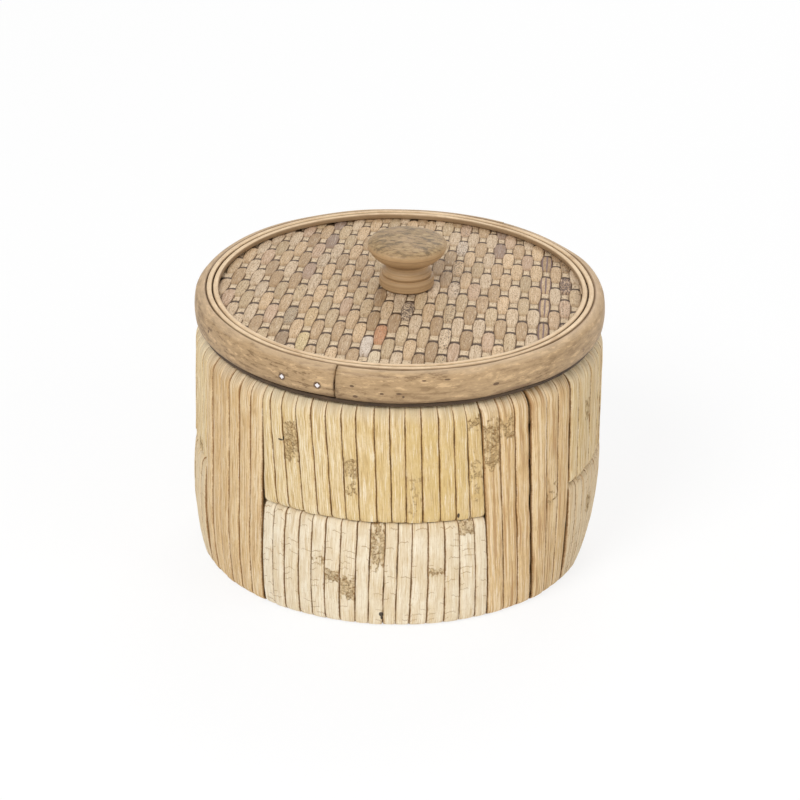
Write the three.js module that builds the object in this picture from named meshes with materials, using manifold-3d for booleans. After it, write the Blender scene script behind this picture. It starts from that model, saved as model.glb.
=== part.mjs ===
// A round lidded box of rattan. Two rings of pole hoops make the wall, wrapped in flat cane strips.
// Four full-height bindings tie the two rings together. The lid is a woven panel in a nailed hoop,
// with a turned wooden knob. Millimetres, +Z up, origin on the table at the centre of the box.
// Angles are in degrees, from the front (-Y), and grow towards +X.
import * as THREE from 'three';
import { mergeVertices } from 'three/addons/utils/BufferGeometryUtils.js';
import Module from 'manifold-3d';

const wasm = await Module();
wasm.setup();

// Driving dimensions of the wall
const bodyRadius = 100;
const lowerRingHeight = 58.2;
const upperRingHeight = 60.7;
const poleDepth = 15;
const polesPerRing = 3;
const stripThickness = 1.6;
const bottomEdgeRadius = 3;
const topEdgeRadius = 9;
const seamEdgeRadius = 2.6;
const poleCornerRadius = 3;
const footDrawIn = 5.5;
const footDrawInHeight = 51;

// Layout of the wraps around the wall
const bindingCentreAngles = [-54.5, 39.8, 127, 214];
const bindingAngle = 28.5;
const bindingStripPitch = 8.3;
const bindingGrooveDepth = 1;
const bindingGrooveWidth = 0.9;
const upperStripPitch = 7.65;
const lowerStripPitch = 7.2;

// Driving dimensions of the bottom
const bottomLift = 3;
const bottomHoopDepth = 5;
const bottomLedgeHeight = 6;
const bottomCoverHeight = 5;
const bottomPanelThickness = 3;

// Driving dimensions of the lid
const lidOverhang = 0.6;
const lidHoopHeight = 16.2;
const lidHoopDepth = 5;
const lidHoopEdgeRadius = 4.6;
const frontJointAngle = -17.5;
const backJointAngle = 148;
const hoopJointGap = 1;
const seatRingThickness = 2;
const seatRingInset = 2;
const lidFrameDepth = 12;
const lidFrameHeight = 8;
const panelThickness = 3.3;
const panelRecess = 2.4;
const panelRise = 3.2;
const panelRimInset = 1;
const warpPitch = 4.96;
const warpShift = 1.6;
const warpLean = 0.106;
const warpLeanSpread = 0.077;
const weftPitch = 13.5;
const weftShift = 0.5;
const weftLean = -0.113;
const weftBow = 8;
const dipReach = 4;
const weaveRelief = 1.4;
const edgeStripThickness = 3;
const edgeStripStand = 0.5;
const locatingRingDepth = 3.5;
const locatingRingHeight = 11;
const mouthClearance = 1;

// Driving dimensions of the knob and its fixing
const knobShift = 3;
const knobShiftBack = 1.5;
const knobCapRadius = 19.4;
const knobHeight = 25.5;
const knobCapWidestHeight = 21.7;
const knobCapUndersideHeight = 12.5;
const knobNeckRadius = 10.9;
const knobCollarRadius = 12.3;
const knobFlangeRadius = 13.4;
const knobFlangeHeight = 5.5;
const knobCollarHeight = 3.2;
const backingDiscRadius = 24;
const backingDiscThickness = 4;
const washerRadius = 8;
const washerThickness = 0.9;
const screwRadius = 2;
const screwHeadRadius = 4;
const screwHeadHeight = 2.4;
const screwBite = 16;

// Driving dimensions of the nails
const nailAngles = [-68, -33.4, -22.4, -11.9, -0.2, 26.6, 62, 100, 142.5, 153.5, 195, 240];
const nailHeadRadius = 1.3;
const nailHeadThickness = 0.7;
const nailShankRadius = 0.7;
const nailLength = 10;

// Clearances and mesh fineness
const fit = 0.3;
const poleSides = 28;
const lidSides = 48;
const knobSides = 24;
const edgeSteps = 2;
const footSteps = 3;
const rotor = Math.PI / 180;

// Levels and radii that follow from the driving dimensions
const wallDepth = poleDepth + 2 * (stripThickness + fit);
const innerRadius = bodyRadius - wallDepth;
const seamLow = lowerRingHeight;
const seamHigh = seamLow + fit;
const bodyTop = seamHigh + upperRingHeight;
const topRound = Math.min(topEdgeRadius, wallDepth / 2 - fit);
const bottomRound = Math.min(bottomEdgeRadius, wallDepth / 2 - fit);
const lidRadius = bodyRadius + lidOverhang;
const hoopInnerRadius = lidRadius - lidHoopDepth;
const lidCoreRadius = hoopInnerRadius - fit;
const panelRimRadius = lidCoreRadius - 2 * edgeStripThickness - fit - panelRimInset;
const seatLow = bodyTop + fit;
const seatHigh = seatLow + seatRingThickness;
const lidHoopLow = seatHigh + fit;
const lidHoopHigh = lidHoopLow + lidHoopHeight;
const panelHigh = lidHoopHigh - panelRecess;
const panelLow = panelHigh - panelThickness;
const frameHigh = panelLow - fit;
const frameLow = frameHigh - lidFrameHeight;
const nailLevel = (frameLow + frameHigh) / 2;
const knobSeat = panelHigh + panelRise + fit;

// The cane and wood finishes, as plain colours
function finish(color, roughness) {
  return new THREE.MeshStandardMaterial({ color, roughness, metalness: 0 });
}
const strawCane = finish(0xc9a871, 0.55);
const paleCane = finish(0xd3b888, 0.6);
const tanCane = finish(0xb98f5a, 0.5);
const poleRattan = finish(0xc2a069, 0.6);
const wovenCane = finish(0xa9825a, 0.6);
const knobWood = finish(0x9c8262, 0.5);
const darkWood = finish(0x6b5238, 0.7);
const steel = new THREE.MeshStandardMaterial({ color: 0x9a9a96, roughness: 0.4, metalness: 0.9 });

const box = new THREE.Group();
const lid = new THREE.Group();

function add(group, name, geometry, material) {
  const mesh = new THREE.Mesh(geometry, material);
  mesh.name = name;
  group.add(mesh);
  return mesh;
}

// A closed geometry with shared vertices, which is what a boolean needs
function closed(geometry) {
  geometry.deleteAttribute('normal');
  geometry.deleteAttribute('uv');
  return mergeVertices(geometry, 1e-4);
}

function toSolid(geometry) {
  const merged = closed(geometry);
  const vertProperties = Float32Array.from(merged.attributes.position.array);
  const triVerts = Uint32Array.from(merged.index.array);
  return new wasm.Manifold(new wasm.Mesh({ numProp: 3, vertProperties, triVerts }));
}

function toGeometry(solid) {
  const { vertProperties, triVerts, numProp } = solid.getMesh();
  const geometry = new THREE.BufferGeometry();
  const positions = new Float32Array((vertProperties.length / numProp) * 3);
  for (let vertex = 0; vertex < vertProperties.length / numProp; vertex += 1) {
    for (let axis = 0; axis < 3; axis += 1) {
      positions[vertex * 3 + axis] = vertProperties[vertex * numProp + axis];
    }
  }
  geometry.setAttribute('position', new THREE.BufferAttribute(positions, 3));
  geometry.setIndex(new THREE.BufferAttribute(Uint32Array.from(triVerts), 1));
  return geometry;
}

function cut(geometry, cutters) {
  return toGeometry(cutters.reduce((solid, cutter) => solid.subtract(toSolid(cutter)), toSolid(geometry)));
}

// A section in radius and height with one radius for its lower and one for its upper corners.
// The points run anticlockwise, and each corner has the given number of steps.
function section(rIn, rOut, zLow, zHigh, lowRound, highRound, steps) {
  const corners = [
    [rOut - lowRound, zLow + lowRound, lowRound, -90],
    [rOut - highRound, zHigh - highRound, highRound, 0],
    [rIn + highRound, zHigh - highRound, highRound, 90],
    [rIn + lowRound, zLow + lowRound, lowRound, 180],
  ];
  return corners.flatMap(([r, z, round, start]) =>
    Array.from({ length: steps + 1 }, (_, step) => {
      const angle = (start + (90 * step) / steps) * rotor;
      return new THREE.Vector2(r + round * Math.cos(angle), z + round * Math.sin(angle));
    }));
}

// The wall draws in towards its foot. The outer side of a section gets points on the way down,
// and each of its outer points moves in by what the wall has at that height.
function footInset(z) {
  const rise = Math.min(Math.max(z / footDrawInHeight, 0), 1);
  return footDrawIn * (1 - rise) ** 2;
}

function drawIn(points, steps) {
  const [low, high] = points.slice(steps, steps + 2);
  const levels = Array.from({ length: footSteps }, (_, step) => (footDrawInHeight * (step + 1)) / footSteps);
  const side = levels.filter((z) => z > low.y + fit && z < high.y - fit)
    .map((z) => new THREE.Vector2(low.x, z));
  const middle = (low.x + points.at(-1).x) / 2;
  return [...points.slice(0, steps + 1), ...side, ...points.slice(steps + 1)]
    .map(({ x, y }) => new THREE.Vector2(x > middle ? x - footInset(y) : x, y));
}

// A full ring of a section. Its flats stand at the section's own radii on the outside.
function ring(points, sides) {
  const geometry = new THREE.LatheGeometry([...points, points[0]], sides).rotateX(Math.PI / 2);
  return closed(geometry);
}

function plainRing(rIn, rOut, zLow, zHigh, sides) {
  return ring([
    new THREE.Vector2(rIn, zLow),
    new THREE.Vector2(rOut, zLow),
    new THREE.Vector2(rOut, zHigh),
    new THREE.Vector2(rIn, zHigh),
  ], sides);
}

function disc(radius, zLow, zHigh, sides) {
  const geometry = new THREE.CylinderGeometry(radius, radius, zHigh - zLow, sides);
  return geometry.rotateX(Math.PI / 2).translate(0, 0, (zLow + zHigh) / 2);
}

// A section bent along an arc, flat between its steps, with closed ends
function bend(outline, hole, startAngle, endAngle, steps) {
  const shape = new THREE.Shape(outline);
  if (hole) shape.holes.push(new THREE.Path(hole));
  const geometry = new THREE.ExtrudeGeometry(shape, { depth: 1, steps, bevelEnabled: false });
  const flat = 1 / Math.cos(((endAngle - startAngle) * rotor) / steps / 2);
  const place = geometry.attributes.position;
  for (let index = 0; index < place.count; index += 1) {
    const angle = (endAngle - place.getZ(index) * (endAngle - startAngle)) * rotor;
    const radius = place.getX(index) * flat;
    place.setXYZ(index, radius * Math.sin(angle), -radius * Math.cos(angle), place.getY(index));
  }
  return closed(geometry);
}

// The same bend with a groove on the outside between each two strips. Each strip takes three steps:
// from the bottom of a groove to its edge, over the flat, and down into the next groove.
function grooved(outline, hole, startAngle, endAngle, strips) {
  const shape = new THREE.Shape(outline);
  shape.holes.push(new THREE.Path(hole));
  const steps = 3 * strips;
  const geometry = new THREE.ExtrudeGeometry(shape, { depth: steps, steps, bevelEnabled: false });
  const stripAngle = (endAngle - startAngle) / strips;
  const flat = 1 / Math.cos((stripAngle * rotor) / 2);
  const grooveShare = bindingGrooveWidth / 2 / bodyRadius / rotor / stripAngle;
  const shares = [0, grooveShare, 1 - grooveShare];
  const middle = (innerRadius + bodyRadius) / 2;
  const key = (x, y) => `${Math.fround(x)} ${Math.fround(y)}`;
  const outside = new Set(outline.filter(({ x }) => x > middle).map(({ x, y }) => key(x, y)));
  const place = geometry.attributes.position;
  for (let index = 0; index < place.count; index += 1) {
    const step = Math.round(place.getZ(index));
    const angle = (endAngle - (Math.floor(step / 3) + shares[step % 3]) * stripAngle) * rotor;
    const between = step % 3 === 0 && step > 0 && step < steps;
    const inGroove = between && outside.has(key(place.getX(index), place.getY(index)));
    const radius = (place.getX(index) - (inGroove ? bindingGrooveDepth : 0)) * flat;
    place.setXYZ(index, radius * Math.sin(angle), -radius * Math.cos(angle), place.getY(index));
  }
  return closed(geometry);
}

// The pole hoops: bent rattan poles, planed flat where they lie on each other
const cavityInner = innerRadius + stripThickness;
const poleOuter = bodyRadius - stripThickness - fit;
const poleInner = (cavityInner + fit) / Math.cos(Math.PI / poleSides);

function addPoles(ringName, zLow, zHigh, lowRound, highRound) {
  const low = zLow + stripThickness + fit;
  const high = zHigh - stripThickness - fit;
  const height = (high - low - (polesPerRing - 1) * fit) / polesPerRing;
  for (let pole = 0; pole < polesPerRing; pole += 1) {
    const bottom = low + pole * (height + fit);
    const lowCorner = pole === 0 ? lowRound : poleCornerRadius;
    const highCorner = pole === polesPerRing - 1 ? highRound : poleCornerRadius;
    const limit = Math.min(height, poleOuter - poleInner) / 2 - fit;
    const outline = section(poleInner, poleOuter, bottom, bottom + height,
      Math.min(lowCorner, limit), Math.min(highCorner, limit), 1);
    add(box, `${ringName}_pole_hoop_${pole + 1}`, ring(drawIn(outline, 1), poleSides), poleRattan);
  }
}
addPoles('lower', 0, seamLow, bottomRound, poleCornerRadius);
addPoles('upper', seamHigh, bodyTop, poleCornerRadius, topRound);

// One wrap: a row of strips that run round the poles, as one loop with a flat for each strip
function wrap(shaper, zLow, zHigh, lowRound, highRound, startAngle, endAngle, pitch) {
  const gapAngle = fit / 2 / bodyRadius / rotor;
  const width = (endAngle - startAngle) * rotor * bodyRadius;
  const strips = Math.max(1, Math.round(width / pitch));
  const outline = section(innerRadius, bodyRadius, zLow, zHigh, lowRound, highRound, edgeSteps);
  const holeLowRound = Math.max(lowRound - stripThickness, fit);
  const holeHighRound = Math.max(highRound - stripThickness, fit);
  const hole = section(cavityInner, bodyRadius - stripThickness, zLow + stripThickness,
    zHigh - stripThickness, holeLowRound, holeHighRound, 1);
  return shaper(drawIn(outline, edgeSteps), drawIn(hole, 1).reverse(), startAngle + gapAngle,
    endAngle - gapAngle, strips);
}

const wrapNames = ['left', 'right', 'back_right', 'back_left'];
const spanNames = ['front', 'right', 'back', 'left'];
bindingCentreAngles.forEach((centre, index) => {
  const start = centre - bindingAngle / 2;
  const end = centre + bindingAngle / 2;
  const turn = index === bindingCentreAngles.length - 1 ? 360 : 0;
  const next = bindingCentreAngles[(index + 1) % bindingCentreAngles.length] + turn - bindingAngle / 2;
  add(box, `binding_wrap_${wrapNames[index]}`,
    wrap(grooved, 0, bodyTop, bottomRound, topRound, start, end, bindingStripPitch), tanCane);
  add(box, `lower_wrap_${spanNames[index]}`,
    wrap(bend, 0, seamLow, bottomRound, seamEdgeRadius, end, next, lowerStripPitch), paleCane);
  add(box, `upper_wrap_${spanNames[index]}`,
    wrap(bend, seamHigh, bodyTop, seamEdgeRadius, topRound, end, next, upperStripPitch), strawCane);
});

// The bottom: a woven panel held between a ledge hoop and a cover hoop, inside the wall
const bottomOuter = innerRadius - fit;
const ledgeHigh = bottomLift + bottomLedgeHeight;
const bottomPanelLow = ledgeHigh + fit;
const bottomPanelHigh = bottomPanelLow + bottomPanelThickness;
const coverLow = bottomPanelHigh + fit;
add(box, 'bottom_ledge_hoop',
  plainRing(bottomOuter - bottomHoopDepth, bottomOuter, bottomLift, ledgeHigh, lidSides), poleRattan);
add(box, 'bottom_panel', closed(disc(bottomOuter, bottomPanelLow, bottomPanelHigh, lidSides)), wovenCane);
add(box, 'bottom_cover_hoop', plainRing(bottomOuter - bottomHoopDepth, bottomOuter, coverLow,
  coverLow + bottomCoverHeight, lidSides), poleRattan);

// The lid's seat: a flat ring on the wall's top, and the ring below it that finds the mouth
const locatingOuter = innerRadius - mouthClearance;
const locatingInner = locatingOuter - locatingRingDepth;
add(lid, 'lid_seat_ring',
  plainRing(locatingInner, bodyRadius - seatRingInset, seatLow, seatHigh, lidSides), darkWood);
const locatingHigh = seatLow - fit;
add(lid, 'lid_locating_ring', plainRing(locatingInner, locatingOuter, locatingHigh - locatingRingHeight,
  locatingHigh, lidSides), poleRattan);

// A nail driven inwards through the hoop, modelled at the front and turned to its angle
function atAngle(geometry, angle) {
  return geometry.rotateZ(angle * rotor);
}

function radialPin(radius, rStart, rEnd) {
  const pin = new THREE.CylinderGeometry(radius, radius, rEnd - rStart, 8);
  return pin.translate(0, -(rStart + rEnd) / 2, nailLevel);
}

function nail(clearance) {
  const shank = toSolid(radialPin(nailShankRadius + clearance,
    lidRadius - nailLength - clearance, lidRadius - nailHeadThickness / 2));
  const head = toSolid(radialPin(nailHeadRadius + clearance,
    lidRadius - nailHeadThickness - clearance, lidRadius + clearance));
  return toGeometry(shank.add(head));
}

const nailHoles = nailAngles.map((angle) => atAngle(nail(fit), angle));

// The lid's frame hoop carries the panel, and the nails hold the outer hoop to it
const frameBlank = plainRing(lidCoreRadius - lidFrameDepth, lidCoreRadius, frameLow, frameHigh, lidSides);
add(lid, 'lid_frame_hoop', cut(frameBlank, nailHoles), poleRattan);

// The outer hoop: a half-round pole in two halves that butt at the front left and the back right
const hoopRound = Math.min(lidHoopEdgeRadius, lidHoopDepth - fit, lidHoopHeight / 2 - fit);
const hoopOutline = section(hoopInnerRadius - hoopRound, lidRadius, lidHoopLow, lidHoopHigh,
  hoopRound, hoopRound, edgeSteps).slice(0, 2 * (edgeSteps + 1));
hoopOutline.push(new THREE.Vector2(hoopInnerRadius, lidHoopHigh));
hoopOutline.push(new THREE.Vector2(hoopInnerRadius, lidHoopLow));
const jointAngle = hoopJointGap / 2 / lidRadius / rotor;

function hoopHalf(startAngle, endAngle) {
  const steps = Math.max(4, Math.round((lidSides * (endAngle - startAngle)) / 360));
  return cut(bend(hoopOutline, null, startAngle + jointAngle, endAngle - jointAngle, steps), nailHoles);
}
add(lid, 'lid_hoop_right', hoopHalf(frontJointAngle, backJointAngle), poleRattan);
add(lid, 'lid_hoop_left', hoopHalf(backJointAngle, frontJointAngle + 360), poleRattan);
nailAngles.forEach((angle, index) => {
  add(lid, `hoop_nail_${index + 1}`, atAngle(nail(0), angle), steel);
});

// Two thin strips on edge hold the woven panel down and hide its rim
const stripLow = panelHigh + fit;
const stripHigh = lidHoopHigh + edgeStripStand;
for (let row = 0; row < 2; row += 1) {
  const outer = lidCoreRadius - row * (edgeStripThickness + fit);
  add(lid, row === 0 ? 'lid_edge_strip_outer' : 'lid_edge_strip_inner',
    plainRing(outer - edgeStripThickness, outer, stripLow, stripHigh, lidSides), tanCane);
}

// The woven panel is a shallow dome inside its rim. This is how far it stands up at a radius.
function rise(radius) {
  return panelRise * Math.max(0, 1 - (radius / panelRimRadius) ** 2);
}

// The knob's fixing, from below: screw, washer, backing disc, panel, knob
const discHigh = panelLow + rise(Math.hypot(knobShift, knobShiftBack) + backingDiscRadius) - fit;
const discLow = discHigh - backingDiscThickness;
const washerHigh = discLow - fit;
const washerLow = washerHigh - washerThickness;
const screwHeadHigh = washerLow - fit;
const screwTop = knobSeat + screwBite;

function underKnob(geometry) {
  return geometry.translate(knobShift, knobShiftBack, 0);
}

function screwBlank(clearance) {
  const shank = toSolid(disc(screwRadius + clearance, screwHeadHigh - screwHeadHeight / 2,
    screwTop + clearance, 12));
  const head = toSolid(disc(screwHeadRadius, screwHeadHigh - screwHeadHeight, screwHeadHigh, 16));
  return underKnob(toGeometry(shank.add(head)));
}

function shankHole() {
  return underKnob(disc(screwRadius + fit, screwHeadHigh, screwTop + fit, 12));
}

// The woven panel: warps lie side by side along Y and lean like a fan, and the wefts that cross them
// are bowed. Each warp dives under every other weft, and its neighbour dives under the wefts between,
// so the floats lie like bricks. Each weft takes three rows of points: two beside it and one on it.
function weave(radius, zLow, zHigh) {
  const columns = Math.ceil(radius / warpPitch) + 2;
  const wefts = Math.ceil(radius / weftPitch) + 2;
  const rows = 3 * (2 * wefts + 1) - 1;
  const geometry = new THREE.BoxGeometry(2 * columns, rows, 1, 2 * columns, rows, 1);
  const place = geometry.attributes.position;
  for (let index = 0; index < place.count; index += 1) {
    const column = Math.round(place.getX(index));
    const row = Math.round(place.getY(index) + rows / 2);
    const weft = Math.floor(row / 3) - wefts;
    const beside = (row % 3) - 1;
    const base = column * warpPitch + warpShift;
    const lean = warpLean - warpLeanSpread * (base / panelRimRadius);
    const level = weft * weftPitch + weftShift + beside * dipReach;
    const across = base + lean * level;
    const y = level + weftLean * across + weftBow * (across / panelRimRadius) ** 2;
    const x = base + lean * y;
    const dips = beside === 0 && (column + weft) % 2 === 0;
    const side = place.getZ(index) > 0 ? zHigh - (dips ? weaveRelief : 0) : zLow;
    place.setXYZ(index, x, y, side + rise(Math.hypot(x, y)));
  }
  return geometry;
}

const panelBlank = toSolid(disc(lidCoreRadius, panelLow, knobSeat, lidSides));
const panelWeave = toSolid(weave(lidCoreRadius, panelLow, panelHigh));
const panelSolid = panelBlank.intersect(panelWeave).subtract(toSolid(shankHole()));
add(lid, 'woven_panel', toGeometry(panelSolid), wovenCane);
add(lid, 'knob_backing_disc',
  cut(underKnob(disc(backingDiscRadius, discLow, discHigh, 24)), [shankHole()]), darkWood);
add(lid, 'knob_washer',
  cut(underKnob(disc(washerRadius, washerLow, washerHigh, 20)), [shankHole()]), steel);
add(lid, 'knob_screw', screwBlank(0), steel);

// The knob: a turned foot with a collar, a waist and a mushroom cap, as one profile from the axis up
function arcPoints(centreR, centreZ, radiusR, radiusZ, startAngle, endAngle, steps) {
  return Array.from({ length: steps + 1 }, (_, step) => {
    const angle = (startAngle + ((endAngle - startAngle) * step) / steps) * rotor;
    return [centreR + radiusR * Math.cos(angle), centreZ + radiusZ * Math.sin(angle)];
  });
}

function knobProfile() {
  const footRound = Math.min(1.2, knobFlangeHeight / 3);
  const collarLow = knobFlangeHeight;
  const collarHigh = collarLow + knobCollarHeight;
  const collarRound = knobCollarRadius - knobNeckRadius;
  const underStart = Math.acos(knobNeckRadius / knobCapRadius);
  const underReach = (knobCapWidestHeight - knobCapUndersideHeight) / Math.sin(underStart);
  const dome = knobHeight - knobCapWidestHeight;
  return [
    [0, 0],
    ...arcPoints(knobFlangeRadius - footRound, footRound, footRound, footRound, -90, 0, 1),
    ...arcPoints(knobFlangeRadius - footRound, knobFlangeHeight - footRound, footRound, footRound, 0, 90, 1),
    ...arcPoints(knobNeckRadius, (collarLow + collarHigh) / 2, collarRound, knobCollarHeight / 2, -60, 90, 3),
    [knobNeckRadius, (collarHigh + knobCapUndersideHeight) / 2],
    ...arcPoints(0, knobCapWidestHeight, knobCapRadius, underReach, -underStart / rotor, 0, 4),
    ...arcPoints(0, knobCapWidestHeight, knobCapRadius, dome, 20, 90, 4),
  ].map(([r, z]) => new THREE.Vector2(Math.max(r, 0), z));
}

const knobBlank = underKnob(
  new THREE.LatheGeometry(knobProfile(), knobSides).rotateX(Math.PI / 2).translate(0, 0, knobSeat));
add(lid, 'knob', cut(knobBlank, [shankHole()]), knobWood);

const part = new THREE.Group();
part.name = 'rattan_box';
part.add(box, lid);

export default part;
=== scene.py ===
# %% [markdown]
# This lesson dresses a round rattan box. Its construction is already measured: pole hoops inside the
# wall, cane wraps round them, a lid on a seat ring. Here every visible surface gets its real form
# and finish, so we start by loading that construction and reading sizes from it.

import math
from functools import partialmethod
from types import SimpleNamespace

import bmesh
import bpy
from mathutils import Matrix, Vector, noise


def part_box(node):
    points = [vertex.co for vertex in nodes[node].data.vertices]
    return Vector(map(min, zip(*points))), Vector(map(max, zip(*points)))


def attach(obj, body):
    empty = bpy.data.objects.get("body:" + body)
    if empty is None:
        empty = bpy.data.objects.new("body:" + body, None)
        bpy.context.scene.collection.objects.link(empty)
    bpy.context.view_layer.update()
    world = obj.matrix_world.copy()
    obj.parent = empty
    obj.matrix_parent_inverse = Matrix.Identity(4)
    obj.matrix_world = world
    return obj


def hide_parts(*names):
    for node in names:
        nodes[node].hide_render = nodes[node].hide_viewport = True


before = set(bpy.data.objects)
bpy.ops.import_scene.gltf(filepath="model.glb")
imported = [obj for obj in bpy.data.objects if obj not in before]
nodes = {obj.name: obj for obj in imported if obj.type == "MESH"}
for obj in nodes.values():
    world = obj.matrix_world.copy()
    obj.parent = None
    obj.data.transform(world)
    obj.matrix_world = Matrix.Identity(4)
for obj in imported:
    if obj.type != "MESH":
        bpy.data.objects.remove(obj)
scene = bpy.context.scene
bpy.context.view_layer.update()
MM = 0.001


def front_angle(x, y):
    """Degrees from the front of the box, growing towards the right."""
    return math.degrees(math.atan2(x, -y))


def polar(radius, turn):
    """The x and y of a place at a turn in radians from the front."""
    return radius * math.sin(turn), -radius * math.cos(turn)


def measure(node):
    """Radii, levels and turning angles of a ring or sector of the construction."""
    points = [v.co for v in nodes[node].data.vertices]
    radii = [math.hypot(p.x, p.y) for p in points]
    middle = front_angle(sum(p.x for p in points), sum(p.y for p in points))
    turns = [(front_angle(p.x, p.y) - middle + 180) % 360 - 180 for p in points]
    return SimpleNamespace(
        inner=min(radii), outer=max(radii), low=min(p.z for p in points), high=max(p.z for p in points),
        start=middle + min(turns), end=middle + max(turns))


def add_object(name, data):
    made = bpy.data.objects.new(name, data)
    scene.collection.objects.link(made)
    return made


# %% [markdown]
# The camera comes early, because every later choice is judged through it. The rim, the seam and the
# foot of the box are circles, and their ellipses in the picture give its height, tilt and distance.

# %% The camera
CAMERA_DISTANCE = 2.2
CAMERA_ELEVATION = math.radians(25.6)
CAMERA_ROLL = math.radians(1.1)
CAMERA_TARGET = Vector((0.0009, 0, 0.07656))
CAMERA_FOCAL_PIXELS = 4431
PICTURE_PIXELS = 800
SENSOR = 36

camera_data = bpy.data.cameras.new("camera")
camera_data.sensor_width = SENSOR
camera_data.lens = CAMERA_FOCAL_PIXELS * SENSOR / PICTURE_PIXELS
camera_data.clip_start = 0.1
camera_data.clip_end = 20
camera = add_object("camera", camera_data)
scene.camera = camera
away = Vector((0, -math.cos(CAMERA_ELEVATION), math.sin(CAMERA_ELEVATION)))
turn = (-away).to_track_quat("-Z", "Y").to_matrix().to_4x4()
roll = Matrix.Rotation(CAMERA_ROLL, 4, "Z")
camera.matrix_world = Matrix.Translation(CAMERA_TARGET + away * CAMERA_DISTANCE) @ turn @ roll


# %% [markdown]
# Finishes and repeating forms are both node trees, and node trees are mostly arithmetic. The first
# class lets a socket be used in plain arithmetic. The second makes every other node in one call.

# %% Node arithmetic
class Wire:
    """An output socket that adds a Math node for each operator used on it."""

    def __init__(self, net, socket):
        self.net = net
        self.socket = socket

    def math(self, operation, *others):
        return self.net.put("ShaderNodeMath", self, *others, operation=operation)

    __add__ = __radd__ = partialmethod(math, "ADD")
    __mul__ = __rmul__ = partialmethod(math, "MULTIPLY")
    __sub__ = partialmethod(math, "SUBTRACT")
    __truediv__ = partialmethod(math, "DIVIDE")

    def __rsub__(self, other):
        return self.net.put("ShaderNodeMath", other, self, operation="SUBTRACT")

    def __neg__(self):
        return self * -1

    def smooth(self, low, high):
        """0 below low, 1 above high, and a smooth step between them."""
        return self.net.put("ShaderNodeMapRange", Value=self, From_Min=low, From_Max=high,
                            interpolation_type="SMOOTHSTEP")


class Net:
    """A node tree that is being built."""

    def __init__(self, tree):
        self.tree = tree

    def fill(self, node, *values, **named):
        """Plain values fill the inputs in order, None leaves one alone, and a join takes a list. A name
        with a capital is an input, and any other name is a setting."""
        inputs = dict(enumerate(values))
        for key, value in named.items():
            if key[0].islower():
                setattr(node, key, value)
            else:
                inputs[key.replace("_", " ")] = value
        for key, value in inputs.items():
            if isinstance(value, (Wire, list)):
                for wire in value if isinstance(value, list) else [value]:
                    self.tree.links.new(wire.socket, node.inputs[key])
            elif value is not None:
                node.inputs[key].default_value = value
        return node

    def node(self, kind, *values, **named):
        return self.fill(self.tree.nodes.new(kind), *values, **named)

    def put(self, kind, *values, out=0, **named):
        return Wire(self, self.node(kind, *values, **named).outputs[out])

    def vector(self, x, y, z):
        return self.put("ShaderNodeCombineXYZ", x, y, z)

    def split(self, vector):
        return [Wire(self, socket) for socket in self.node("ShaderNodeSeparateXYZ", vector).outputs]

    def reach(self, x, y):
        return (x * x + y * y).math("SQRT")

    def noise(self, x, y, z, detail=3, rough=0.6, scale=1):
        return self.put("ShaderNodeTexNoise", Vector=self.vector(x, y, z), Scale=scale, Detail=detail,
                        Roughness=rough)


# %% [markdown]
# A Geometry Nodes tree with named inputs can make many pieces of different size. It is described
# once by its list of inputs, and each use sets them by their identifiers.

# %% Repeating forms
class Form(Net):
    """A Geometry Nodes tree with named inputs: numbers, counts and a material."""

    def __init__(self, name, numbers, counts="", takes_points=False):
        super().__init__(bpy.data.node_groups.new(name, "GeometryNodeTree"))
        kinds = {"Geometry": "Geometry"} if takes_points else {}
        kinds.update(dict.fromkeys(numbers.split(), "Float"))
        kinds.update(dict.fromkeys(counts.split(), "Int"))
        kinds["Material"] = "Material"
        face = self.tree.interface
        face.new_socket("Geometry", in_out="OUTPUT", socket_type="NodeSocketGeometry")
        self.names = {key: face.new_socket(key, in_out="INPUT", socket_type="NodeSocket" + kind).identifier
                      for key, kind in kinds.items()}
        outputs = self.tree.nodes.new("NodeGroupInput").outputs
        self.given = SimpleNamespace(**{key: Wire(self, outputs[key]) for key in kinds})

    def geo(self, kind, *values, **named):
        return self.put("GeometryNode" + kind, *values, **named)

    def position(self):
        return self.split(self.geo("InputPosition"))

    def store(self, geometry, name, value, domain="POINT"):
        return self.geo("StoreNamedAttribute", geometry, Name=name, Value=value, data_type="FLOAT",
                        domain=domain)

    def stored(self, *names):
        return [self.geo("InputNamedAttribute", Name=name, data_type="FLOAT") for name in names]

    def random(self, low, high, seed, identity=None):
        return self.put("FunctionNodeRandomValue", None, None, low, high, Seed=seed, ID=identity, out=1,
                        data_type="FLOAT")

    def finish(self, geometry, is_smooth=True):
        smooth = self.geo("SetShadeSmooth", geometry, Shade_Smooth=is_smooth)
        coloured = self.geo("SetMaterial", smooth, Material=self.given.Material)
        self.node("NodeGroupOutput", coloured)
        return self

    def make(self, name, solidify=None, points=(), marks=None, **values):
        """Evaluates the tree with these inputs and keeps the result as a plain mesh object."""
        start = bpy.data.meshes.new(name + "_maker")
        start.from_pydata(points, [], [])
        for key, marking in (marks or {}).items():
            write_floats(start, key, marking)
        maker = add_object(name + "_maker", start)
        modifier = maker.modifiers.new("form", "NODES")
        modifier.node_group = self.tree
        for key, value in values.items():
            modifier[self.names[key]] = value
        if solidify:
            thick = maker.modifiers.new("thickness", "SOLIDIFY")
            thick.thickness = solidify
            thick.offset = 0
        bpy.context.view_layer.update()
        evaluated = maker.evaluated_get(bpy.context.evaluated_depsgraph_get())
        mesh = bpy.data.meshes.new_from_object(evaluated)
        bpy.data.objects.remove(maker)
        mesh.name = name
        return add_object(name, mesh)


def write_floats(mesh, name, values):
    mesh.attributes.new(name, "FLOAT", "POINT").data.foreach_set("value", values)


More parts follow.
